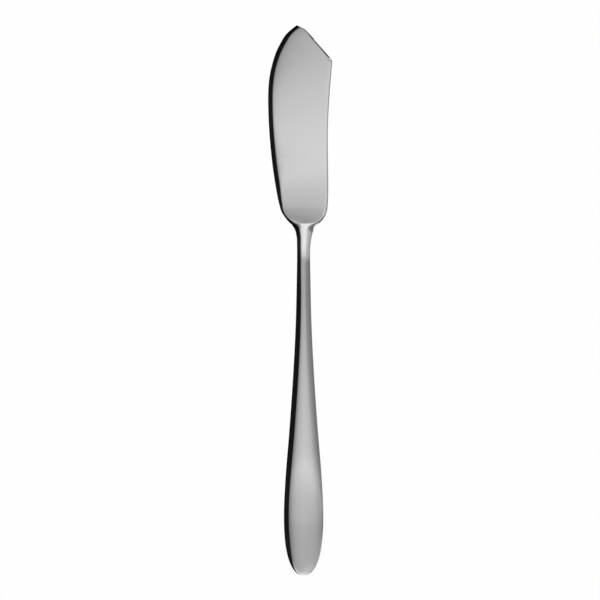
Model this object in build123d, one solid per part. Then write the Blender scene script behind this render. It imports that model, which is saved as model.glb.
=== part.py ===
from build123d import *
import math
import os

# Fish knife in polished stainless steel, lying on its back: X across, Y along with the tip at +Y, Z up.
# The origin is on the table, under the middle of the knife's bounding box.

# Plan view, in millimetres
OVERALL_LENGTH = 210.0
BLADE_LENGTH = 85.0  # tip to the place where the neck runs straight
NECK_LENGTH = 5.5  # straight neck of the blade, up to the mouth of the handle
BELLY_REACH = 13.56  # handle axis to the widest point of the belly
BACK_REACH = 10.93  # handle axis to the clipped corner of the back
TIP_OFFSET = 2.2  # the tip lies this far to the belly side of the handle axis
NOSE_RUN = 2.3  # flatter start of the clipped edge: across the knife from the tip
NOSE_DROP = 1.35  # and along the knife from the tip
NOSE_RADIUS = 15.0
CLIP_LENGTH = 13.3  # tip to the clipped corner, along the knife
CLIP_CORNER_RADIUS = 1.6
NECK_WIDTH = 5.0
HANDLE_WIDTH = 15.05
BUTT_LENGTH = 26.5  # the outline rounds in to the end of the butt over this length

# Heights above the table, in millimetres
TIP_HEIGHT = 2.1
HEEL_HEIGHT = 2.75  # the blade's front face, where its taper from the tip ends
CREST_HEIGHT = 4.27  # top of the shoulder
NECK_HEIGHT = 3.05  # lowest place of the front, at the mouth of the handle
HANDLE_HEIGHT = 9.18  # near the butt
NECK_CLEARANCE = 0.1  # gap between the table and the neck's back
BLADE_SEAM_HEIGHT = 0.4  # middle of the edges of the blade
BUTT_ROUNDING = 3.7  # front and back of the handle round in to the end of the butt over this length

# Cross-sections, in millimetres and as slopes
FACE_SLOPE = 0.32  # the blade's front face leans over by this, where it meets the facet along the belly
FACE_TURN = 0.14  # and begins to lean at about this share of its width
FACET_WIDTH = 1.75
FRONT_FACET_SLOPES = (0.36, 0.42)
BACK_FACET_SLOPES = (0.08, 0.16)
FRONT_BREAK_SLOPES = (0.25, 1.0)  # small rounding along the blade's back
BACK_BREAK_SLOPES = (0.1, 0.4)
GRINDING_ALLOWANCE = 0.02  # taken off the blade's back face to make it flat
CROWN_SLOPE = 0.33  # crowned faces of neck and handle, where they meet the rims
RIM_SLOPE = 1.0  # rims of neck and handle, at the sides
LEAST_LAND = 0.3  # height of the flat strip along the sides, at least
NECK_RIM_WIDTH = 1.4
HANDLE_RIM_WIDTH = 2.0
RIM_RUN_OUT = 13.0  # the handle's rims run out over this length at the butt

# What the handle hides, in millimetres
SHELL_WALL = 0.5
BUTT_WALL = 2.0
TANG_LENGTH = 62.0
TANG_ROOT_WIDTH = 2.2
TANG_ROOT_THICKNESS = 1.05
TANG_END_WIDTH = 1.8
TANG_END_THICKNESS = 1.1

# Shape of the belly side: (share of the blade length from the tip, share of the reach past the neck)
BELLY_CURVE = [
    (0.03, 0.291), (0.09, 0.614), (0.19, 0.888), (0.33, 1.0), (0.53, 0.929), (0.72, 0.745), (0.8, 0.625),
    (0.845, 0.513), (0.88, 0.319), (0.91, 0.108), (0.945, 0.023), (1.0, 0.0),
]
# Shape of the back in the same shares, from the clipped corner to the neck
BACK_CURVE = [
    (0.0, 1.18), (0.17, 1.0), (0.3, 0.888), (0.42, 0.818), (0.54, 0.8), (0.72, 0.82), (0.8, 0.798),
    (0.845, 0.738), (0.88, 0.526), (0.91, 0.203), (0.945, 0.084), (1.0, 0.0),
]
# Passage from the blade's cross-section to the neck's: (share of the blade length, share of the change)
STEP_CURVE = [
    (0.79, 0.0), (0.84, 0.08), (0.854, 0.18), (0.867, 0.37), (0.885, 0.66), (0.9, 0.86), (0.92, 0.97),
    (0.96, 1.0),
]
# Width of the belly's facet, then of the neck's rim that it runs into, as shares of the facet's width
FACET_CURVE = [
    (0.0, 1.2), (0.1, 1.15), (0.2, 1.0), (0.66, 1.0), (0.741, 0.94), (0.8, 0.7), (0.84, 0.5), (0.862, 0.52),
    (0.882, 0.8), (0.903, 1.14), (0.93, 0.93), (0.966, 0.82), (1.0, 0.8),
]
# Width of the rounding along the blade's back, then of the neck's rim, as shares of the neck's rim
BREAK_CURVE = [
    (0.69, 0.32), (0.8, 0.4), (0.84, 0.5), (0.87, 0.75), (0.885, 1.15), (0.903, 1.85), (0.93, 1.45),
    (0.966, 1.1), (1.0, 1.0),
]
# The front along the blade: taper from the tip to the heel, rise to the crest, and fall to the mouth
HEEL_SHARE = 0.66
RISE_CURVE = [
    (0.6, 0.0), (0.674, 0.033), (0.741, 0.118), (0.777, 0.184), (0.808, 0.256), (0.827, 0.312), (0.84, 0.378),
    (0.854, 0.491), (0.867, 0.66), (0.881, 0.856), (0.891, 1.0),
]
# The fall in shares of the length from the crest to the mouth
FALL_CURVE = [
    (-0.06, -0.06), (0.0, 0.0), (0.14, 0.15), (0.32, 0.345), (0.55, 0.61), (0.69, 0.765), (0.79, 0.855),
    (0.89, 0.935), (1.0, 1.0), (1.1, 1.05),
]
# Swelling of the handle: (share of its length from the mouth, share of the growth from the neck)
WIDTH_CURVE = [(0.0, 0.0), (0.2, 0.106), (0.4, 0.355), (0.55, 0.608), (0.7, 0.893), (0.81, 1.0)]
HEIGHT_CURVE = [
    (-0.06, -0.1), (0.0, 0.0), (0.057, 0.109), (0.121, 0.233), (0.217, 0.378), (0.313, 0.498), (0.44, 0.647),
    (0.568, 0.794), (0.632, 0.865), (0.696, 0.916), (0.792, 0.968), (0.888, 0.999), (1.0, 1.0),
]
HANDLE_RIM_CURVE = [(0.0, 0.0), (0.1, 0.5), (0.45, 1.0), (0.65, 1.0), (0.75, 0.75), (1.0, 0.75)]
BUTT_FULLNESS = 3.15  # 2 would make the butt's outline half an ellipse
WIDEST_RIM = 0.7  # the rims take at most this share of the half width, so the face never closes

# Cross-sections of the blade, as shares of its length, close together where the outline turns
BLADE_STATIONS = [
    -0.014, 0.0, 0.014, 0.029, 0.048, 0.072, 0.1, 0.135, 0.18, 0.24, 0.31, 0.39, 0.47, 0.55, 0.62, 0.68,
    0.73, 0.77, 0.8, 0.823, 0.843, 0.861, 0.878, 0.895, 0.912, 0.929, 0.946, 0.963, 0.981,
]
NECK_STATIONS = [0.0, 0.3, 0.58, 0.8, 0.93, 1.0]  # as shares of the straight neck
HANDLE_STATIONS = 24
BUTT_CROWDING = 1.3  # above 1, the stations of the handle stand closer at its butt
SLANT_REACH = 0.2  # an outline's slant is taken over this length to both sides, in millimetres

TIP_Y = OVERALL_LENGTH / 2
BUTT_Y = -OVERALL_LENGTH / 2
MOUTH_Y = TIP_Y - BLADE_LENGTH - NECK_LENGTH
MOUTH_SHARE = 1 + NECK_LENGTH / BLADE_LENGTH
HANDLE_LENGTH = MOUTH_Y - BUTT_Y
AXIS_X = (BELLY_REACH - BACK_REACH) / 2
MOUTH_SEAM = (NECK_HEIGHT + NECK_CLEARANCE) / 2  # height of the plane in which the two half shells meet
BUTT_SEAM = HANDLE_HEIGHT / 2  # it rises from the mouth to the butt, half way between front and back


def mix(first, second, share):
    return first + (second - first) * share


def curve(points, place):
    """Smooth cubic through points, level at both ends and wherever the points turn back."""
    steps = [b[0] - a[0] for a, b in zip(points, points[1:])]
    rates = [(b[1] - a[1]) / step for a, b, step in zip(points, points[1:], steps)]
    slopes = [0.0]
    for i in range(1, len(rates)):
        parabola = (steps[i] * rates[i - 1] + steps[i - 1] * rates[i]) / (steps[i] + steps[i - 1])
        slopes.append(parabola if rates[i - 1] * rates[i] > 0 else 0.0)
    slopes.append(0.0)
    place = min(max(place, points[0][0]), points[-1][0])
    i = max(k for k in range(len(steps)) if points[k][0] <= place)
    u = (place - points[i][0]) / steps[i]
    ends = points[i][1] * (1 + 2 * u) * (1 - u) ** 2 + points[i + 1][1] * (3 - 2 * u) * u**2
    return ends + steps[i] * u * (1 - u) * (slopes[i] * (1 - u) - slopes[i + 1] * u)


def rounded_end(share):
    """Share of the full size at a share of the length over which an end is rounded off."""
    return math.sqrt(1 - max(1 - share, 0.0) ** BUTT_FULLNESS)


def facing(outline, place):
    """How squarely an outline faces sideways at a place along the knife: 1 where it runs straight."""
    slant = (outline(place + SLANT_REACH) - outline(place - SLANT_REACH)) / (2 * SLANT_REACH)
    return 1 / math.hypot(1, slant)


def section(y, sides, middle, back, front):
    """Closed cross-section at y: two faces, a curved rim on each side of both, and a flat land at each side.
    A face has its height, its slopes at the rims, where these meet, and each rim's width and slopes."""
    curves = []
    land_ends = []
    for face, outward in ((back, -1), (front, 1)):
        inner = [sides[0] + face["rims"][0][0], sides[1] - face["rims"][1][0]]
        turn = mix(*inner, face["turn"])
        falls = [slope * abs(turn - x) for slope, x in zip(face["slopes"], inner)]
        top = face["height"] + outward * sum(falls) / 4
        edges = [top - outward * fall for fall in falls]
        curves.append(Bezier((inner[0], y, edges[0]), (turn, y, top), (inner[1], y, edges[1])))
        for j in range(2):
            width, first_slope, last_slope = face["rims"][j]
            below = width * (first_slope + last_slope) / 2
            reach = max(outward * (edges[j] - middle) - below, LEAST_LAND / 2)
            end = (sides[j], y, middle + outward * reach)
            bend = ((inner[j] + sides[j]) / 2, y, edges[j] - outward * width * first_slope / 2)
            curves.append(Bezier((inner[j], y, edges[j]), bend, end))
            land_ends.append(end)
    back_face, back_left, back_right, front_face, front_left, front_right = curves
    left_land = Line(land_ends[0], land_ends[2])
    right_land = Line(land_ends[1], land_ends[3])
    right_side = [front_right, right_land, back_right]
    left_side = [back_left, left_land, front_left]
    return Face(Wire([front_face] + right_side + [back_face] + left_side))


def belly_side(distance):
    """Handle axis to the belly, at a distance from the tip."""
    neck_half = NECK_WIDTH / 2
    tip_share = (TIP_OFFSET - neck_half) / (BELLY_REACH - neck_half)
    past_tip = (-BELLY_CURVE[0][0], 2 * tip_share - BELLY_CURVE[0][1])
    belly = [past_tip, (0.0, tip_share)] + BELLY_CURVE
    return mix(neck_half, BELLY_REACH, curve(belly, distance / BLADE_LENGTH))


def back_side(distance):
    """Handle axis to the back as it is before the tip is clipped, at a distance from the tip."""
    return mix(NECK_WIDTH / 2, BACK_REACH, curve(BACK_CURVE, distance / BLADE_LENGTH))


def front_height(share):
    taper = mix(TIP_HEIGHT, HEEL_HEIGHT, 1 - max(1 - share / HEEL_SHARE, 0.0) ** 2)
    crest_share = RISE_CURVE[-1][0]
    past_crest = max(share - crest_share, 0.0) / (MOUTH_SHARE - crest_share)
    crest = mix(CREST_HEIGHT, NECK_HEIGHT, curve(FALL_CURVE, past_crest))
    return mix(taper, crest, curve(RISE_CURVE, share))


def blade_section(share):
    """Cross-section of the blade forging at a share of the blade length from the tip."""
    distance = share * BLADE_LENGTH
    step = curve(STEP_CURVE, share)
    widths = (FACET_WIDTH * curve(FACET_CURVE, share), NECK_RIM_WIDTH * curve(BREAK_CURVE, share))
    rim_slopes = [RIM_SLOPE * facing(outline, distance) for outline in (belly_side, back_side)]

    def face(height, slopes, turn, *edges):
        rims = []
        for width, (first, last), rim_slope in zip(widths, edges, rim_slopes):
            rims.append((width, mix(first, CROWN_SLOPE, step), mix(last, rim_slope, step)))
        slopes = [mix(slope, CROWN_SLOPE, step) for slope in slopes]
        return {"height": height, "slopes": slopes, "turn": mix(turn, 0.5, step), "rims": rims}

    ground = mix(-GRINDING_ALLOWANCE, NECK_CLEARANCE, step)
    back = face(ground, (0.0, 0.0), 0.5, BACK_FACET_SLOPES, BACK_BREAK_SLOPES)
    front = face(front_height(share), (FACE_SLOPE, 0.0), FACE_TURN, FRONT_FACET_SLOPES, FRONT_BREAK_SLOPES)
    sides = (AXIS_X - belly_side(distance), AXIS_X + back_side(distance))
    return section(TIP_Y - distance, sides, mix(BLADE_SEAM_HEIGHT, MOUTH_SEAM, step), back, front)


def clip():
    """Everything beyond the clipped edge, which runs from the tip to the corner of the back."""
    tip = (AXIS_X - TIP_OFFSET, TIP_Y)
    nose = (tip[0] + NOSE_RUN, TIP_Y - NOSE_DROP)
    corner = (AXIS_X + BACK_REACH, TIP_Y - CLIP_LENGTH)
    below = (corner[0], corner[1] - CLIP_LENGTH)
    edge = FilletPolyline(tip, nose, corner, below, radius=[NOSE_RADIUS, CLIP_CORNER_RADIUS])
    far = (corner[0] + BLADE_LENGTH, below[1])
    beyond = (far[0], TIP_Y + BLADE_LENGTH)
    over = (tip[0] - BLADE_LENGTH, TIP_Y + BLADE_LENGTH)
    outside = make_face(edge + Polyline(below, far, beyond, over, tip))
    return extrude(outside, amount=2 * HEEL_HEIGHT, both=True)


def seam_height(from_mouth):
    return mix(MOUTH_SEAM, BUTT_SEAM, from_mouth / HANDLE_LENGTH)


def tang():
    """Rectangular bar that tapers along the seam plane."""
    root = Plane((AXIS_X, MOUTH_Y, MOUTH_SEAM), x_dir=(1, 0, 0), z_dir=(0, -1, 0))
    tang_end = (AXIS_X, MOUTH_Y - TANG_LENGTH, seam_height(TANG_LENGTH))
    end = Plane(tang_end, x_dir=(1, 0, 0), z_dir=(0, -1, 0))
    return loft([
        root * Rectangle(TANG_ROOT_WIDTH, TANG_ROOT_THICKNESS),
        end * Rectangle(TANG_END_WIDTH, TANG_END_THICKNESS),
    ])


def blade_forging():
    """Blade, shoulder and neck in one loft, clipped to the tip, with its back face ground flat."""
    stations = BLADE_STATIONS + [mix(1.0, MOUTH_SHARE, share) for share in NECK_STATIONS]
    body = loft([blade_section(share) for share in stations]) - clip()
    table = Pos(0, 0, -HEEL_HEIGHT) * Box(OVERALL_LENGTH, OVERALL_LENGTH, 2 * HEEL_HEIGHT)
    return body - table + tang()


def handle_half_width(from_butt):
    swell = curve(WIDTH_CURVE, 1 - from_butt / HANDLE_LENGTH)
    return mix(NECK_WIDTH, HANDLE_WIDTH, swell) / 2 * rounded_end(max(from_butt, 0.0) / BUTT_LENGTH)


def handle_section(from_butt, inset=0.0):
    """Cross-section of the handle at a distance from the butt, or of its cavity where inset is the wall."""
    share = 1 - from_butt / HANDLE_LENGTH
    half_width = handle_half_width(from_butt) - inset
    swelling = curve(HEIGHT_CURVE, share)
    rounding = rounded_end(from_butt / BUTT_ROUNDING)
    middle = seam_height(HANDLE_LENGTH - from_butt)
    front_height = mix(middle + LEAST_LAND, mix(NECK_HEIGHT, HANDLE_HEIGHT, swelling), rounding)
    back_height = mix(middle - LEAST_LAND, mix(NECK_CLEARANCE, 0.0, swelling), rounding)
    rim = mix(NECK_RIM_WIDTH, HANDLE_RIM_WIDTH, curve(HANDLE_RIM_CURVE, share))
    rim *= 1 - max(1 - from_butt / RIM_RUN_OUT, 0.0) ** 2
    rim = min(rim, WIDEST_RIM * half_width)
    lean = facing(handle_half_width, from_butt)
    crown = CROWN_SLOPE * lean
    rims = [(rim, crown, RIM_SLOPE * lean)] * 2
    faces = []
    for height in (back_height + inset, front_height - inset):
        faces.append({"height": height, "slopes": (crown, crown), "turn": 0.5, "rims": rims})
    return section(BUTT_Y + from_butt, (AXIS_X - half_width, AXIS_X + half_width), middle, *faces)


def closing_in(k):
    """Share of the handle's length at its station k: stations stand closer towards both ends."""
    return (1 - math.cos(math.pi * k / HANDLE_STATIONS)) / 2


def handle_body():
    shares = [closing_in(k) ** BUTT_CROWDING for k in range(HANDLE_STATIONS, 0, -1)]
    return loft([handle_section(HANDLE_LENGTH * share) for share in shares])


def handle_cavity():
    shares = [closing_in(k) for k in range(HANDLE_STATIONS, -1, -1)]
    return loft([handle_section(mix(BUTT_WALL, HANDLE_LENGTH, share), SHELL_WALL) for share in shares])


seam = Plane((AXIS_X, MOUTH_Y, MOUTH_SEAM), x_dir=(1, 0, 0), z_dir=(0, BUTT_SEAM - MOUTH_SEAM, HANDLE_LENGTH))
blade = blade_forging()
cavity = handle_cavity()
shells = handle_body() - cavity
front_shell = split(shells, bisect_by=seam, keep=Keep.TOP)
back_shell = split(shells, bisect_by=seam, keep=Keep.BOTTOM)
filler = cavity - tang()

os.makedirs("parts", exist_ok=True)
nodes = {
    "blade": blade,
    "handle_front_shell": front_shell,
    "handle_back_shell": back_shell,
    "handle_filler": filler,
}
for name, solid in nodes.items():
    export_step(solid, f"parts/{name}.step")
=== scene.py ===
import math

import bmesh
import bpy
from mathutils import Matrix, Vector


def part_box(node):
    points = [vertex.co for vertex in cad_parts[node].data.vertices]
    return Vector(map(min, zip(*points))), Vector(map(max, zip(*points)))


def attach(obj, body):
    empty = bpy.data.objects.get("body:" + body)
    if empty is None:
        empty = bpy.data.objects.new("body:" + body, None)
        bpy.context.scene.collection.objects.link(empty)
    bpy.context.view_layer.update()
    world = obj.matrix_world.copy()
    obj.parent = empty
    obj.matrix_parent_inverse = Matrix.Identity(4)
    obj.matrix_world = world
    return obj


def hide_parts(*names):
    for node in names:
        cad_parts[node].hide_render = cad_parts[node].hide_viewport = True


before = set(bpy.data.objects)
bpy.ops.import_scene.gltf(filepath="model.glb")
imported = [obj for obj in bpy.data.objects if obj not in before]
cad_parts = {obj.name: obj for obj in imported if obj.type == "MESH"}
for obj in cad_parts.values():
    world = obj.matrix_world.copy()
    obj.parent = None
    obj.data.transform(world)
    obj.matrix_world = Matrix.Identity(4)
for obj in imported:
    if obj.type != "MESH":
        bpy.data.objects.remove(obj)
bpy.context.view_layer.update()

# Blade: one stainless steel forging, a broad blunt blade with a shoulder that steps up to a slim neck.
# Its belly is ground to a narrow facet, its tip is clipped, and the whole is polished.
# A tapering rectangular tang, drawn out of the neck's end, is cemented into the handle.
MM = 0.001
shell_low, shell_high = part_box("handle_front_shell")
TIP_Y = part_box("blade")[1].y
BUTT_Y = shell_low.y
MOUTH_Y = shell_high.y
AXIS_X = (shell_low.x + shell_high.x) / 2

# Lengths in millimetres, and distances along the knife from the tip
FORGING_LENGTH = (TIP_Y - MOUTH_Y) / MM
BLADE_LENGTH = 85.0
NECK_HALF = 2.5
BELLY_REACH = 13.56
BACK_REACH = 10.93
# The tip: a short blunt nose on the belly's side of the axis, then the straight clip up to the back
TIP_OFFSET = 2.2
NOSE_RUN = 2.75
NOSE_DROP = 1.35
CLIP_LENGTH = 13.3
NOSE_ROUNDING = 0.5
CORNER_ROUNDING = 0.35
# Heights of the front over the table, and of the neck's underside
TIP_HEIGHT = 2.1
HEEL_HEIGHT = 2.75
CREST_HEIGHT = 4.27
NECK_HEIGHT = 3.05
NECK_CLEARANCE = 0.1
# Height of the line between front and back, on the blade's edge and at the mouth, and the land left upright there
EDGE_MIDDLE = 0.4
MOUTH_SEAM = (NECK_HEIGHT + NECK_CLEARANCE) / 2
LEAST_LAND = 0.3
# Rims: the facet ground along the belly, and the round of the neck
FACET_WIDTH = 1.75
NECK_RIM = 1.4

# Slopes of the round neck and handle, then of the blade, each from the middle outwards
CROWN_SLOPE = 0.33
RIM_SLOPE = 1.0
FACE_SLOPE = 0.32
FACET_SLOPES = (0.36, 0.42)
BACK_RIM_SLOPE = 0.25
BEVEL_SLOPES = (0.88, 0.94)
UNDER_FACET_SLOPES = (0.08, 0.16)
UNDER_BACK_SLOPES = (0.1, 0.4)

# Widest facet and back rim towards the tip, as shares of the blade's width
FACET_LIMIT = 0.48
BACK_RIM_LIMIT = 0.18
# Share of the blade's length along which the back rim keeps to that
BACK_RIM_LIMIT_END = 0.5
# Back rim along the clip's bevel, against a plain one
BEVEL_WIDENING = 1.35

# Outline of both sides: share of the blade's length from the tip, share of the reach past the neck
BELLY_CURVE = [
    (-0.03, -0.29), (0.0, 0.015), (0.03, 0.305), (0.09, 0.614), (0.19, 0.888), (0.33, 1.0), (0.53, 0.929),
    (0.72, 0.745), (0.8, 0.625), (0.845, 0.513), (0.88, 0.319), (0.91, 0.108), (0.945, 0.023), (1.0, 0.0),
]
BACK_CURVE = [
    (0.0, 1.18), (0.17, 1.0), (0.3, 0.888), (0.42, 0.818), (0.54, 0.8), (0.72, 0.82), (0.8, 0.798),
    (0.845, 0.738), (0.88, 0.526), (0.91, 0.203), (0.945, 0.084), (1.0, 0.0),
]
# Widths of the rims at the belly and at the back, as shares of the facet and of the neck's rim
FACET_CURVE = [
    (0.0, 1.2), (0.1, 1.15), (0.2, 1.0), (0.66, 1.0), (0.741, 0.94), (0.8, 0.7), (0.84, 0.5), (0.862, 0.52),
    (0.882, 0.8), (0.903, 1.14), (0.93, 0.93), (0.966, 0.82), (1.0, 0.8), (1.065, 0.8),
]
BACK_RIM_CURVE = [
    (0.0, 0.32), (0.69, 0.32), (0.8, 0.4), (0.84, 0.5), (0.87, 0.75), (0.885, 1.15), (0.903, 1.85),
    (0.93, 1.45), (0.966, 1.1), (1.0, 1.0), (1.065, 1.0),
]
# Strength of the bevel along the clip: share of the clip's length from the tip
BEVEL_CURVE = [(0.24, 0.0), (0.3, 0.3), (0.4, 1.0), (0.9, 1.0), (0.985, 0.75), (1.03, 0.0)]
# Passage from the blade's section to the neck's, and of the slope on the side of its back
STEP_CURVE = [
    (0.8, 0.0), (0.84, 0.08), (0.854, 0.18), (0.867, 0.37), (0.885, 0.66), (0.9, 0.86), (0.92, 0.97),
    (0.96, 1.0),
]
BACK_SIDE_CURVE = [
    (0.77, 0.0), (0.8, 0.001), (0.826, 0.005), (0.84, 0.014), (0.853, 0.036), (0.867, 0.08), (0.88, 0.15),
    (0.885, 0.2), (0.894, 0.36), (0.903, 0.57), (0.916, 0.8), (0.93, 0.95), (0.96, 1.03), (1.0, 1.1),
    (1.065, 1.3),
]
# Place where the slopes of the front meet, as a share of its width
TURN_CURVE = [
    (0.866, 0.14), (0.876, 0.165), (0.885, 0.25), (0.894, 0.36), (0.903, 0.45), (0.912, 0.49), (0.92, 0.5),
]
# Height of the front: rise from the heel to the crest, then fall to the mouth in shares of that length
HEEL_SHARE = 0.66
RISE_CURVE = [
    (0.6, 0.0), (0.674, 0.033), (0.741, 0.118), (0.777, 0.184), (0.808, 0.256), (0.827, 0.312), (0.84, 0.378),
    (0.854, 0.491), (0.867, 0.66), (0.881, 0.856), (0.891, 1.0),
]
FALL_CURVE = [
    (0.0, 0.0), (0.14, 0.15), (0.32, 0.345), (0.55, 0.61), (0.69, 0.765), (0.79, 0.855), (0.89, 0.935),
    (1.0, 1.0), (1.1, 1.05),
]
# Reach over which the curves are worn smooth, in shares of the blade's length
BLADE_EASING = 0.012
SHOULDER_EASING = 0.006
HEIGHT_EASING = 0.003


def mix(first, second, share):
    return first + (second - first) * share


def curve(points, place):
    """Smooth cubic through points, level where they turn back, and straight into its first and last point."""
    steps = [b[0] - a[0] for a, b in zip(points, points[1:])]
    rates = [(b[1] - a[1]) / step for a, b, step in zip(points, points[1:], steps)]
    slopes = [rates[0]]
    for i in range(1, len(rates)):
        parabola = (steps[i] * rates[i - 1] + steps[i - 1] * rates[i]) / (steps[i] + steps[i - 1])
        slopes.append(parabola if rates[i - 1] * rates[i] > 0 else 0.0)
    slopes.append(rates[-1])
    place = min(max(place, points[0][0]), points[-1][0])
    i = max(k for k in range(len(steps)) if points[k][0] <= place)
    u = (place - points[i][0]) / steps[i]
    ends = points[i][1] * (1 + 2 * u) * (1 - u) ** 2 + points[i + 1][1] * (3 - 2 * u) * u**2
    return ends + steps[i] * u * (1 - u) * (slopes[i] * (1 - u) - slopes[i + 1] * u)


def worn(line, place, reach):
    """A line's value with its corners worn away over a reach to both sides."""
    parts = [(-2, 1), (-1, 4), (0, 6), (1, 4), (2, 1)]
    return sum(weight * line(place + offset * reach / 2) for offset, weight in parts) / 16


def eased(points, place, reach):
    return worn(lambda p: curve(points, p), place, reach)


def nearer(first, second, rounding):
    """The smaller of two lengths, with the corner where they cross rounded."""
    return (first + second - math.hypot(first - second, rounding)) / 2


def bow(start, turn, end, count):
    """Points of a parabola from start to end, without the end."""
    shares = [k / count for k in range(count)]
    return [start * (1 - t) ** 2 + turn * 2 * t * (1 - t) + end * t**2 for t in shares]


FACE_POINTS = 24
RIM_POINTS = 12
LAND_POINTS = 2


def half_girth(sides, seam, face, outward, uncut):
    """Points from the seam on the left, over one face, to the seam on the right, as (across, up).
    face holds its height, its slopes at left and right, where they meet, and each rim's width and slopes.
    uncut is the right side as it was before the clip, or the round of the butt, was cut."""
    inner = [sides[0] + face["rims"][0][0], uncut - face["rims"][1][0]]
    width = inner[1] - inner[0]
    runs = (face["turn"] * width, (1 - face["turn"]) * width)
    falls = [slope * run for slope, run in zip(face["slopes"], runs)]
    top = face["height"] + sum(falls) / 4 * outward
    turn = Vector((inner[0] + runs[0], top))
    corners = [Vector((x, top - fall * outward)) for x, fall in zip(inner, falls)]
    # The face's parabola ends early, where the rim along the cut begins
    cut_run = sides[1] - face["rims"][1][0] - inner[0]
    kept = cut_run / (runs[0] + math.sqrt(runs[0] ** 2 + (runs[1] - runs[0]) * cut_run))
    before, after = corners[0].lerp(turn, kept), turn.lerp(corners[1], kept)
    turn = before
    corners[1] = before.lerp(after, kept)
    rims = []
    for corner, side, (rim, first, last) in zip(corners, sides, face["rims"]):
        bend = Vector(((corner.x + side) / 2, corner.y - outward * rim * first / 2))
        land = max(outward * (corner.y - seam) - rim * (first + last) / 2, LEAST_LAND / 2)
        rims.append((corner, bend, Vector((side, seam + outward * land)), Vector((side, seam))))
    (left, left_bend, left_edge, left_seam), (right, right_bend, right_edge, right_seam) = rims
    points = bow(left_seam, (left_seam + left_edge) / 2, left_edge, LAND_POINTS)
    points += bow(left_edge, left_bend, left, RIM_POINTS)
    points += bow(left, turn, right, FACE_POINTS)
    points += bow(right, right_bend, right_edge, RIM_POINTS)
    points += bow(right_edge, (right_seam + right_edge) / 2, right_seam, LAND_POINTS)
    return points + [right_seam]


def placed(points, distance):
    """Points of a section, set at a distance from the tip."""
    return [Vector((AXIS_X + p.x * MM, TIP_Y - distance * MM, p.y * MM)) for p in points]


def blade_sides(distance):
    """Belly, back, and the back as it was before the clip was cut."""
    share = distance / BLADE_LENGTH
    belly = -mix(NECK_HALF, BELLY_REACH, eased(BELLY_CURVE, share, BLADE_EASING))
    uncut = mix(NECK_HALF, BACK_REACH, eased(BACK_CURVE, share, BLADE_EASING))
    nose_edge = distance * NOSE_RUN / NOSE_DROP
    clip_slope = (TIP_OFFSET + BACK_REACH - NOSE_RUN) / (CLIP_LENGTH - NOSE_DROP)
    clip_edge = NOSE_RUN + (distance - NOSE_DROP) * clip_slope
    back = nearer(nearer(nose_edge, clip_edge, NOSE_ROUNDING) - TIP_OFFSET, uncut, CORNER_ROUNDING)
    return belly, back, uncut


FACING_STEP = 0.2


def facing(outline, distance):
    """How much of a rim's slope lies across the knife, where its outline runs aslant."""
    run = outline(distance + FACING_STEP) - outline(distance - FACING_STEP)
    return 1 / math.hypot(1, run / (2 * FACING_STEP))


def front_height(share):
    """Height of the front at a share of the blade's length, before its corners are worn away."""
    taper = mix(TIP_HEIGHT, HEEL_HEIGHT, 1 - max(1 - share / HEEL_SHARE, 0.0) ** 2)
    crest_share = RISE_CURVE[-1][0]
    mouth_share = FORGING_LENGTH / BLADE_LENGTH
    fall = curve(FALL_CURVE, (share - crest_share) / (mouth_share - crest_share))
    return mix(taper, mix(CREST_HEIGHT, NECK_HEIGHT, fall), min(curve(RISE_CURVE, share), 1.0))


def blade_ring(distance):
    """Ring of points around the blade, the shoulder or the neck."""
    share = distance / BLADE_LENGTH
    belly, back, uncut = blade_sides(distance)
    width = back - belly
    belly_facing = facing(lambda d: blade_sides(d)[0], distance)
    back_facing = facing(lambda d: blade_sides(d)[1], distance)
    step = eased(STEP_CURVE, share, BLADE_EASING)
    back_side = eased(BACK_SIDE_CURVE, share, SHOULDER_EASING)
    bevel = curve(BEVEL_CURVE, distance / CLIP_LENGTH)

    facet = FACET_WIDTH * eased(FACET_CURVE, share, BLADE_EASING)
    narrow = min(FACET_LIMIT * width / facet, 1.0)
    height = worn(front_height, share, HEIGHT_EASING) - (1 - narrow) * facet * sum(FACET_SLOPES) / 2
    facet *= narrow
    plain_rim = NECK_RIM * eased(BACK_RIM_CURVE, share, BLADE_EASING)
    back_rim = plain_rim
    if share < BACK_RIM_LIMIT_END:
        back_rim = min(plain_rim / back_facing, BACK_RIM_LIMIT * width) * mix(1.0, BEVEL_WIDENING, bevel)
    uncut += back_rim - plain_rim

    crown = mix(0.0, CROWN_SLOPE, step)
    belly_end, back_end = RIM_SLOPE * belly_facing, RIM_SLOPE * back_facing
    back_start = mix(mix(BACK_RIM_SLOPE, CROWN_SLOPE, back_side), BEVEL_SLOPES[0], bevel)
    front = {
        "height": height,
        "slopes": (mix(FACE_SLOPE, CROWN_SLOPE, step), mix(0.0, CROWN_SLOPE, back_side)),
        "turn": eased(TURN_CURVE, share, SHOULDER_EASING),
        "rims": (
            (facet, mix(FACET_SLOPES[0], CROWN_SLOPE, step), mix(FACET_SLOPES[1], belly_end, step)),
            (back_rim, back_start * back_facing, mix(RIM_SLOPE, BEVEL_SLOPES[1], bevel) * back_facing),
        ),
    }
    under = {
        "height": mix(0.0, NECK_CLEARANCE, step),
        "slopes": (crown, crown),
        "turn": 0.5,
        "rims": (
            (facet, mix(UNDER_FACET_SLOPES[0], CROWN_SLOPE, step), mix(UNDER_FACET_SLOPES[1], belly_end, step)),
            (back_rim, mix(UNDER_BACK_SLOPES[0], CROWN_SLOPE, step), mix(UNDER_BACK_SLOPES[1], back_end, step)),
        ),
    }
    seam = mix(EDGE_MIDDLE, MOUTH_SEAM, step)
    above = half_girth((belly, back), seam, front, 1, uncut)
    below = half_girth((belly, back), seam, under, -1, uncut)
    return placed(above[:-1] + below[:0:-1], distance)


def around(ring):
    """Pairs of neighbours around a closed ring."""
    return zip(ring, ring[1:] + ring[:1])


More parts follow.
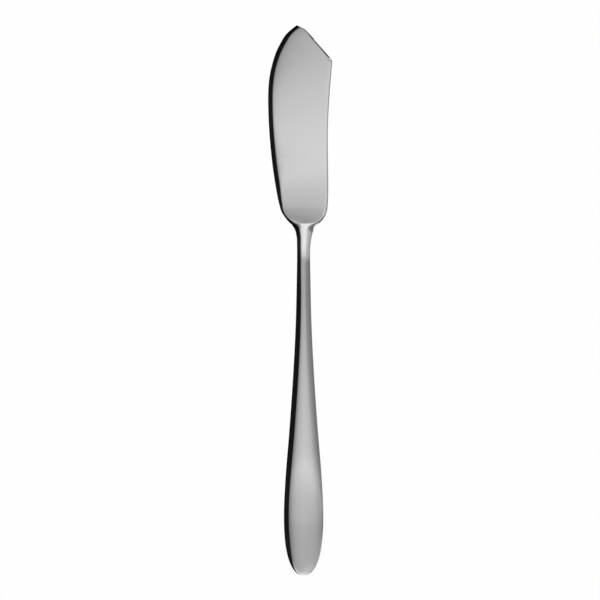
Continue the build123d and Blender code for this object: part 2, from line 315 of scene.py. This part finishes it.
def draw_out(bm, ring, places):
    """Extrudes a ring of vertices and moves the new ring to places."""
    edges = [bm.edges.get(pair) for pair in around(ring)]
    made = bmesh.ops.extrude_edge_only(bm, edges=edges)["geom"]
    fresh = {v for v in made if isinstance(v, bmesh.types.BMVert)}
    drawn = [next(e.other_vert(v) for e in v.link_edges if e.other_vert(v) in fresh) for v in ring]
    for vertex, place in zip(drawn, places):
        vertex.co = place
    return drawn


def in_scene(name, data):
    """A new object of this mesh, lamp or camera."""
    item = bpy.data.objects.new(name, data)
    bpy.context.scene.collection.objects.link(item)
    return item


SHARP_ANGLE = math.radians(35)


def drawn_through(rings, name, creases=()):
    """Solid drawn through a row of rings, shaded smooth but for sharp edges and creases along some points."""
    bm = bmesh.new()
    ring = bmesh.ops.create_circle(bm, segments=len(rings[0]), radius=MM)["verts"]
    for vertex, place in zip(ring, rings[0]):
        vertex.co = place
    first = ring
    creased = []
    for places in rings[1:]:
        drawn = draw_out(bm, ring, places)
        creased += [bm.edges.get((ring[i], drawn[i])) for i in creases]
        ring = drawn
    for end in (first, ring):
        bmesh.ops.edgeloop_fill(bm, edges=[bm.edges.get(pair) for pair in around(end)])
    bmesh.ops.recalc_face_normals(bm, faces=bm.faces)
    for face in bm.faces:
        face.smooth = True
    for edge in bm.edges:
        edge.smooth = edge.calc_face_angle() <= SHARP_ANGLE
    for edge in creased:
        edge.smooth = False
    mesh = bpy.data.meshes.new(name)
    bm.to_mesh(mesh)
    bm.free()
    return in_scene(name, mesh)


def stations(*runs):
    """Distances from the tip over several runs, each with its start, end and spacing."""
    places = []
    for start, end, spacing in runs:
        count = math.ceil((end - start) / spacing)
        places += [mix(start, end, k / count) for k in range(count)]
    return places + [runs[-1][1]]


TANG_LENGTH = 62.0
# Width, thickness and height of the middle
TANG_ROOT = (2.2, 1.05, MOUTH_SEAM)
TANG_END = (1.8, 1.1, 3.139)


def tang_ring(shape, distance):
    """The neck's ring of points, pressed on to a rectangle of the tang."""
    width, thickness, middle = shape
    ring = []
    for point in blade_ring(FORGING_LENGTH):
        across, up = point.x - AXIS_X, point.z - MOUTH_SEAM * MM
        size = max(abs(across) / (width / 2), abs(up) / (thickness / 2))
        ring.append(Vector((across / size, middle + up / size)))
    return placed(ring, distance)


# Sections from the tip to the mouth lie closest where the form turns fastest: start, end and spacing
BLADE_RUNS = [
    (0.04, 1.0, 0.12), (1.0, 12.0, 0.35), (12.0, 15.0, 0.15), (15.0, 60.0, 0.8), (60.0, 74.0, 0.3),
    (74.0, 78.0, 0.12), (78.0, FORGING_LENGTH, 0.4),
]
rings = [blade_ring(distance) for distance in stations(*BLADE_RUNS)]
rings.append(tang_ring(TANG_ROOT, FORGING_LENGTH))
rings.append(tang_ring(TANG_END, FORGING_LENGTH + TANG_LENGTH))
blade = drawn_through(rings, "blade_steel")

STEEL_TINTS = ((0.742, 0.742, 0.752, 1), (0.758, 0.758, 0.768, 1))
POLISH_LINES = (2500.0, 33.0, 2500.0)
POLISH_DETAIL = 3.0
POLISH_RANGE = (0.3, 0.7)
POLISH_ROUGHNESS = (0.05, 0.08)
POLISH_DEPTH = 0.5e-6
HAZE_SCALE = 60.0
HAZE_DETAIL = 2.0
HAZE_RANGE = (0.4, 0.7)
HAZE_ROUGHNESS = (0.0, 0.012)
RUBBED_RANGE = (0.52, 0.6)
RUBBED_ROUGHNESS = (0.0, 0.05)


def noise(tree, place, scale, detail):
    node = tree.nodes.new("ShaderNodeTexNoise")
    node.inputs["Scale"].default_value = scale
    node.inputs["Detail"].default_value = detail
    tree.links.new(place, node.inputs["Vector"])
    return node.outputs["Fac"]


def spread(tree, value, low, high, first, last):
    """Value from low to high, turned into first to last and held there."""
    node = tree.nodes.new("ShaderNodeMapRange")
    for socket, number in (("From Min", low), ("From Max", high), ("To Min", first), ("To Max", last)):
        node.inputs[socket].default_value = number
    tree.links.new(value, node.inputs["Value"])
    return node.outputs["Result"]


def worked(tree, operation, first, second=0.0):
    """Result of an operation on two values, each a number or another node's output."""
    node = tree.nodes.new("ShaderNodeMath")
    node.operation = operation
    for socket, value in zip(node.inputs, (first, second)):
        if isinstance(value, float):
            socket.default_value = value
        else:
            tree.links.new(value, socket)
    return node.outputs[0]


def tinted(tree, share, tints):
    """Colour between two tints. The mix node's colours are its inputs 6 and 7 and its output 2."""
    node = tree.nodes.new("ShaderNodeMix")
    node.data_type = "RGBA"
    tree.links.new(share, node.inputs["Factor"])
    node.inputs[6].default_value, node.inputs[7].default_value = tints
    return node.outputs[2]


def raised(tree, height, depth):
    node = tree.nodes.new("ShaderNodeBump")
    node.inputs["Distance"].default_value = depth
    tree.links.new(height, node.inputs["Height"])
    return node.outputs["Normal"]


def polished_steel(name):
    """Bright steel with fine polishing lines along the knife, patches of haze, and edges rubbed dull by use."""
    material = bpy.data.materials.new(name)
    material.use_nodes = True
    tree = material.node_tree
    shader = tree.nodes["Principled BSDF"]
    shader.inputs["Metallic"].default_value = 1.0
    place = tree.nodes.new("ShaderNodeTexCoord").outputs["Object"]
    stretch = tree.nodes.new("ShaderNodeMapping")
    stretch.inputs["Scale"].default_value = POLISH_LINES
    tree.links.new(place, stretch.inputs["Vector"])
    lines = noise(tree, stretch.outputs["Vector"], 1.0, POLISH_DETAIL)
    haze = noise(tree, place, HAZE_SCALE, HAZE_DETAIL)
    edges = tree.nodes.new("ShaderNodeNewGeometry").outputs["Pointiness"]
    roughness = spread(tree, lines, *POLISH_RANGE, *POLISH_ROUGHNESS)
    roughness = worked(tree, "ADD", roughness, spread(tree, haze, *HAZE_RANGE, *HAZE_ROUGHNESS))
    roughness = worked(tree, "ADD", roughness, spread(tree, edges, *RUBBED_RANGE, *RUBBED_ROUGHNESS))
    tree.links.new(roughness, shader.inputs["Roughness"])
    tree.links.new(tinted(tree, haze, STEEL_TINTS), shader.inputs["Base Color"])
    tree.links.new(raised(tree, lines, POLISH_DEPTH), shader.inputs["Normal"])
    return material


blade.data.materials.append(polished_steel("polished_blade_steel"))
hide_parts("blade")
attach(blade, "root")

# Handle shells: two halves pressed from stainless steel sheet, brazed together along their sides.
# They seat on the neck's end, and the seam is ground flush and polished away.
KNIFE_LENGTH = (TIP_Y - BUTT_Y) / MM
HANDLE_LENGTH = (MOUTH_Y - BUTT_Y) / MM
HANDLE_HALF = 15.05 / 2
HANDLE_HEIGHT = 9.18
BUTT_LENGTH = 26.5
BUTT_FULLNESS = 3.15
# Rounding of the butt's edge, by the way that a half faces: 1 for the front, -1 for the back
BUTT_ROUNDING = {1: 1.2, -1: 4.0}
BUTT_SEAM = HANDLE_HEIGHT / 2
SHELL_WALL = 0.5
BUTT_WALL = 2.0
HANDLE_RIM = 2.0
LEAST_RIM = 0.03
# Length before the butt over which the rim dwindles, and its widest as a share of the half width
RIM_FADING = 13.0
RIM_LIMIT = 0.7
# Swelling from the neck: share of the handle's length from the mouth, share of the growth
WIDTH_CURVE = [(0.0, 0.0), (0.2, 0.106), (0.4, 0.355), (0.55, 0.608), (0.7, 0.893), (0.81, 1.0), (1.0, 1.0)]
HEIGHT_CURVE = [
    (-0.03, -0.05), (0.0, 0.0), (0.057, 0.109), (0.121, 0.233), (0.217, 0.378), (0.313, 0.498), (0.44, 0.647),
    (0.568, 0.794), (0.632, 0.865), (0.664, 0.894), (0.696, 0.916), (0.792, 0.968), (0.84, 0.989), (0.888, 0.999),
    (0.942, 1.0), (0.964, 0.9965), (0.977, 0.991), (0.983, 0.9872), (1.0, 0.972), (1.03, 0.938),
]
# Slope of the front on the side of the blade's back, against the other's
BACK_SIDE_LEAN = [(0.0, 1.3), (0.1, 1.1), (0.2, 1.0)]
# Growth of the rim from the neck's, and the front rim on the side of the blade's back, against the other's
HANDLE_RIM_CURVE = [(0.0, 0.0), (0.1, 0.5), (0.45, 1.0), (0.65, 1.0), (0.75, 0.75), (1.0, 0.75)]
BACK_RIM_SHARE = [
    (0.0, 1.0), (0.4, 1.0), (0.6, 0.9), (0.75, 0.8), (0.8, 0.65), (0.85, 0.45), (0.9, 0.3), (1.0, 0.25),
]
# Reach over which the curves are worn smooth, in shares of the handle's length
WIDTH_EASING = 0.03
SWELLING_EASING = 0.012
HANDLE_RIM_EASING = 0.02
BACK_RIM_EASING = 0.03


def rounded_end(share):
    """Share of the full size left at a share of the way in from a rounded end."""
    return math.sqrt(1 - max(1 - share, 0.0) ** BUTT_FULLNESS)


def uncut_half_width(distance):
    """Half width of the handle, had its butt not been rounded."""
    share = 1 - max(KNIFE_LENGTH - distance, 0.0) / HANDLE_LENGTH
    return mix(NECK_HALF, HANDLE_HALF, eased(WIDTH_CURVE, share, WIDTH_EASING))


def handle_half_width(distance):
    from_butt = max(KNIFE_LENGTH - distance, 0.0)
    return uncut_half_width(distance) * rounded_end(from_butt / BUTT_LENGTH)


def half_handle(distance, outward, inset):
    """Half section of the handle's outside, or of its inside where inset is the wall."""
    from_butt = KNIFE_LENGTH - distance
    share = 1 - from_butt / HANDLE_LENGTH
    swelling = eased(HEIGHT_CURVE, share, SWELLING_EASING)
    heights = {1: mix(NECK_HEIGHT, HANDLE_HEIGHT, swelling), -1: mix(NECK_CLEARANCE, 0.0, swelling)}
    seam = mix(MOUTH_SEAM, BUTT_SEAM, share)
    rounding = rounded_end(from_butt / BUTT_ROUNDING[outward])
    height = mix(seam + outward * LEAST_LAND, heights[outward], rounding) - outward * inset

    half = handle_half_width(distance) - inset
    fading = 1 - max(1 - from_butt / RIM_FADING, 0.0) ** 2
    rim = mix(NECK_RIM, HANDLE_RIM, eased(HANDLE_RIM_CURVE, share, HANDLE_RIM_EASING)) * fading
    rim = max(min(rim, RIM_LIMIT * half), LEAST_RIM)
    uncut, back_rim, back_side = half, rim, 1.0
    if outward > 0:
        uncut = uncut_half_width(distance) - inset
        back_rim = max(rim * eased(BACK_RIM_SHARE, share, BACK_RIM_EASING), LEAST_RIM)
        back_side = curve(BACK_SIDE_LEAN, share)

    lean = facing(handle_half_width, distance)
    slopes = (CROWN_SLOPE * lean, CROWN_SLOPE * lean * back_side)
    runs = (half - rim, uncut - back_rim)
    kept_slope = slopes[1] * (half - back_rim) / runs[1]
    face = {
        "height": height,
        "slopes": slopes,
        "turn": runs[0] / sum(runs),
        "rims": ((rim, slopes[0], RIM_SLOPE * lean), (back_rim, kept_slope, RIM_SLOPE * lean)),
    }
    return half_girth((-half, half), seam, face, outward, uncut)


# Sections along the handle, closer along its last stretch, and crowding together over the solid butt
HANDLE_SPACING = 0.8
LAST_STRETCH = 12.0
LAST_SPACING = 0.25
BUTT_RINGS = 24


def half_shell(name, outward):
    """Hollow half of the handle with a solid butt, creased where its rims meet the land along the seam."""
    last = KNIFE_LENGTH - LAST_STRETCH
    wall = KNIFE_LENGTH - BUTT_WALL
    hollow = stations((FORGING_LENGTH, last, HANDLE_SPACING), (last, wall, LAST_SPACING))
    turns = [math.pi / 2 * k / BUTT_RINGS for k in range(1, BUTT_RINGS)]
    crowding = [KNIFE_LENGTH - BUTT_WALL * (1 - math.sin(turn)) for turn in turns]
    rings = []
    for distance in hollow:
        outside = half_handle(distance, outward, 0.0)
        inside = half_handle(distance, outward, SHELL_WALL)
        rings.append(placed(outside + inside[::-1], distance))
    for distance in crowding:
        outside = half_handle(distance, outward, 0.0)
        count = len(outside)
        chord = [outside[-1].lerp(outside[0], (k + 1) / (count + 1)) for k in range(count)]
        rings.append(placed(outside + chord, distance))
    return drawn_through(rings, name, (LAND_POINTS, LAND_POINTS + 2 * RIM_POINTS + FACE_POINTS))


for name, node, outward in (("handle_front", "handle_front_shell", 1), ("handle_back", "handle_back_shell", -1)):
    shell = half_shell(name, outward)
    shell.data.materials.append(polished_steel(f"polished_{name}_steel"))
    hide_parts(node)
    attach(shell, "root")

# Handle filler: resin cement, poured into the brazed handle before the tang is pushed in, and hidden there.
# It is dull and grainy, with pale specks of chalk.
CEMENT_TINTS = ((0.17, 0.14, 0.11, 1), (0.3, 0.25, 0.2, 1))
CEMENT_RANGE = (0.3, 0.7)
TINT_SHARE = (0.0, 0.5)
GRAIN_SCALE = 900.0
GRAIN_DETAIL = 4.0
CLOUD_SCALE = 80.0
CLOUD_DETAIL = 3.0
CEMENT_ROUGHNESS = (0.75, 0.95)
CEMENT_DEPTH = 0.05 * MM
cement = bpy.data.materials.new("cast_cement")
cement.use_nodes = True
tree = cement.node_tree
shader = tree.nodes["Principled BSDF"]
place = tree.nodes.new("ShaderNodeTexCoord").outputs["Object"]
grain = noise(tree, place, GRAIN_SCALE, GRAIN_DETAIL)
clouds = noise(tree, place, CLOUD_SCALE, CLOUD_DETAIL)
specks = spread(tree, grain, *CEMENT_RANGE, *TINT_SHARE)
paleness = worked(tree, "ADD", specks, spread(tree, clouds, *CEMENT_RANGE, *TINT_SHARE))
tree.links.new(tinted(tree, paleness, CEMENT_TINTS), shader.inputs["Base Color"])
tree.links.new(spread(tree, grain, *CEMENT_RANGE, *CEMENT_ROUGHNESS), shader.inputs["Roughness"])
tree.links.new(raised(tree, grain, CEMENT_DEPTH), shader.inputs["Normal"])
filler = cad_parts["handle_filler"]
for slot in filler.material_slots:
    slot.material = cement

# Table: a plain white floor under the knife.
# It shows white to the camera and in the steel, and takes the knife's shadow.
FLOOR_HALF = 4.0
FLOOR_DROP = 0.2 * MM
FLOOR_COLOUR = (0.9, 0.9, 0.9, 1)
FLOOR_GLOW = 0.96
floor_mesh = bpy.data.meshes.new("floor")
bm = bmesh.new()
bmesh.ops.create_grid(bm, x_segments=1, y_segments=1, size=FLOOR_HALF)
bm.to_mesh(floor_mesh)
bm.free()
floor = in_scene("floor", floor_mesh)
floor.data.transform(Matrix.Translation((0, 0, -FLOOR_DROP)))


def blended(tree, share, first, second):
    """Shader between two others."""
    node = tree.nodes.new("ShaderNodeMixShader")
    for socket, value in zip(node.inputs, (share, first, second)):
        tree.links.new(value, socket)
    return node.outputs["Shader"]


white_floor = bpy.data.materials.new("white_floor")
white_floor.use_nodes = True
tree = white_floor.node_tree
tree.nodes.clear()
matt = tree.nodes.new("ShaderNodeBsdfDiffuse")
matt.inputs["Color"].default_value = FLOOR_COLOUR
glow = tree.nodes.new("ShaderNodeEmission")
path = tree.nodes.new("ShaderNodeLightPath").outputs
seen = worked(tree, "MAXIMUM", path["Is Camera Ray"], path["Is Glossy Ray"])
seen = worked(tree, "MAXIMUM", seen, path["Is Transmission Ray"])
seen = worked(tree, "MULTIPLY", seen, FLOOR_GLOW)
output = tree.nodes.new("ShaderNodeOutputMaterial")
tree.links.new(blended(tree, seen, matt.outputs["BSDF"], glow.outputs["Emission"]), output.inputs["Surface"])
floor.data.materials.append(white_floor)

# Studio light: a soft dome, brightest overhead and towards the butt, and black low on the belly's side.
# A broad lamp above gives the floor its shadow, and isn't mirrored in the steel.
WHITE = (1, 1, 1, 1)
# Brightness by the slope of a mirror that would send the light straight up: across, then along the knife
ACROSS = [
    (-1.0, 0.36), (-0.36, 0.36), (-0.333, 0.38), (-0.31, 0.43), (-0.284, 0.55), (-0.258, 0.64), (-0.232, 0.735),
    (-0.207, 0.79), (-0.157, 0.875), (-0.131, 0.905), (-0.1, 0.93), (-0.05, 0.965), (0.0, 1.0), (0.05, 1.0),
    (0.1, 0.99), (0.15, 0.97), (0.2, 0.94), (0.25, 0.87), (0.3, 0.72), (0.33, 0.66), (0.456, 0.61), (0.61, 0.53),
    (0.745, 0.47), (1.0, 0.42),
]
ALONG = [
    (-1.0, 0.5), (-0.5, 0.65), (-0.3, 0.8), (-0.14, 1.08), (-0.1, 1.09), (-0.085, 1.06), (-0.07, 0.96),
    (-0.06, 0.78), (-0.05, 0.6), (-0.04, 0.52), (-0.02, 0.53), (-0.01, 0.57), (0.0, 0.64), (0.006, 0.72),
    (0.013, 0.81), (0.02, 0.86), (0.029, 0.815), (0.038, 0.745), (0.046, 0.69), (0.0535, 0.631), (0.065, 0.575),
    (0.08, 0.54), (0.1, 0.515), (0.14, 0.49), (0.2, 0.455), (0.35, 0.33), (0.6, 0.1), (1.0, 0.05),
]
BRIGHTEST = 1.25
NEAR_LEVEL = 0.1
# A black flag on the belly's side: slopes at its edge, and the light that it lets through
FLAG_EDGE = (-0.35, -0.32)
FLAG_LIGHT = 0.05
# Grey flags in both corners behind the butt, and in the belly's corner: slopes across and along, and depth
BUTT_CORNERS = ((0.08, 0.3), (-0.1, -0.25), 0.45)
BELLY_CORNER = ((-0.06, -0.18), (-0.085, -0.12), 0.4)
world = bpy.data.worlds.new("studio")
bpy.context.scene.world = world
world.use_nodes = True
tree = world.node_tree
tree.nodes.clear()


def falling_off(slope, points):
    """Brightness along a curve, on which slopes near level are spread out."""
    node = tree.nodes.new("ShaderNodeFloatCurve")
    line = node.mapping.curves[0]
    while len(line.points) < len(points):
        line.points.new(0.5, 0.5)
    for point, (place, level) in zip(line.points, points):
        point.location = (0.5 + place / (NEAR_LEVEL + abs(place)) / 2, level / BRIGHTEST)
    node.mapping.update()
    length = worked(tree, "ADD", worked(tree, "ABSOLUTE", slope), NEAR_LEVEL)
    place = worked(tree, "ADD", worked(tree, "DIVIDE", slope, length), 1.0)
    tree.links.new(worked(tree, "MULTIPLY", place, 0.5), node.inputs["Value"])
    return worked(tree, "MULTIPLY", node.outputs["Value"], BRIGHTEST)


def shaded(slope, start, end, first=0.0, last=1.0):
    """Smooth passage from first to last between two slopes."""
    passage = spread(tree, slope, start, end, first, last)
    passage.node.interpolation_type = "SMOOTHSTEP"
    return passage


def sky(strength):
    """White sky, of full strength where none is given."""
    node = tree.nodes.new("ShaderNodeBackground")
    node.inputs["Color"].default_value = WHITE
    if strength:
        tree.links.new(strength, node.inputs["Strength"])
    return node.outputs["Background"]


direction = tree.nodes.new("ShaderNodeSeparateXYZ")
tree.links.new(tree.nodes.new("ShaderNodeTexCoord").outputs["Generated"], direction.inputs["Vector"])
rise = worked(tree, "ADD", worked(tree, "MAXIMUM", direction.outputs["Z"]), 1.0)
across = worked(tree, "DIVIDE", direction.outputs["X"], rise)
along = worked(tree, "DIVIDE", direction.outputs["Y"], rise)
level = worked(tree, "MULTIPLY", falling_off(across, ACROSS), falling_off(along, ALONG))
level = worked(tree, "MULTIPLY", level, shaded(across, *FLAG_EDGE, FLAG_LIGHT, 1.0))
aside = worked(tree, "ABSOLUTE", across)
for slope, (across_edge, along_edge, depth) in ((aside, BUTT_CORNERS), (across, BELLY_CORNER)):
    corner = worked(tree, "MULTIPLY", shaded(slope, *across_edge), shaded(along, *along_edge))
    light = worked(tree, "SUBTRACT", 1.0, worked(tree, "MULTIPLY", corner, depth))
    level = worked(tree, "MULTIPLY", level, light)
path = tree.nodes.new("ShaderNodeLightPath").outputs
seen = worked(tree, "MAXIMUM", path["Is Camera Ray"], path["Is Transmission Ray"])
output = tree.nodes.new("ShaderNodeOutputWorld")
tree.links.new(blended(tree, seen, sky(level), sky(None)), output.inputs["Surface"])

LAMP_ENERGY = 1.8
LAMP_ANGLE = math.radians(60)
lamp_data = bpy.data.lights.new("overhead_lamp", "SUN")
lamp_data.energy = LAMP_ENERGY
lamp_data.angle = LAMP_ANGLE
lamp = in_scene("overhead_lamp", lamp_data)
lamp.location = (0, 0, 1)
lamp.visible_glossy = False

# Camera: straight above the knife with a long lens.
# The picture is square, and the knife stands in it from the tip's row of pixels to the butt's.
CAMERA_HEIGHT = 1.5
MEAN_HEIGHT = 3 * MM
SENSOR_WIDTH = 36.0
FRAME_PIXELS = 600
PIXELS_PER_MM = 2.6205
AXIS_COLUMN = 303.6
TIP_ROW = 24.9
BUTT_ROW = 575.2
camera_data = bpy.data.cameras.new("camera")
camera_data.sensor_width = SENSOR_WIDTH
camera_data.lens = SENSOR_WIDTH * (CAMERA_HEIGHT - MEAN_HEIGHT) / (FRAME_PIXELS / PIXELS_PER_MM * MM)
camera_data.clip_start = 0.05
camera_data.clip_end = 20.0
camera = in_scene("camera", camera_data)
camera.location = (
    AXIS_X - (AXIS_COLUMN - FRAME_PIXELS / 2) / PIXELS_PER_MM * MM,
    ((TIP_ROW + BUTT_ROW) / 2 - FRAME_PIXELS / 2) / PIXELS_PER_MM * MM,
    CAMERA_HEIGHT,
)
bpy.context.scene.camera = camera
bpy.context.scene.view_settings.view_transform = "Standard"
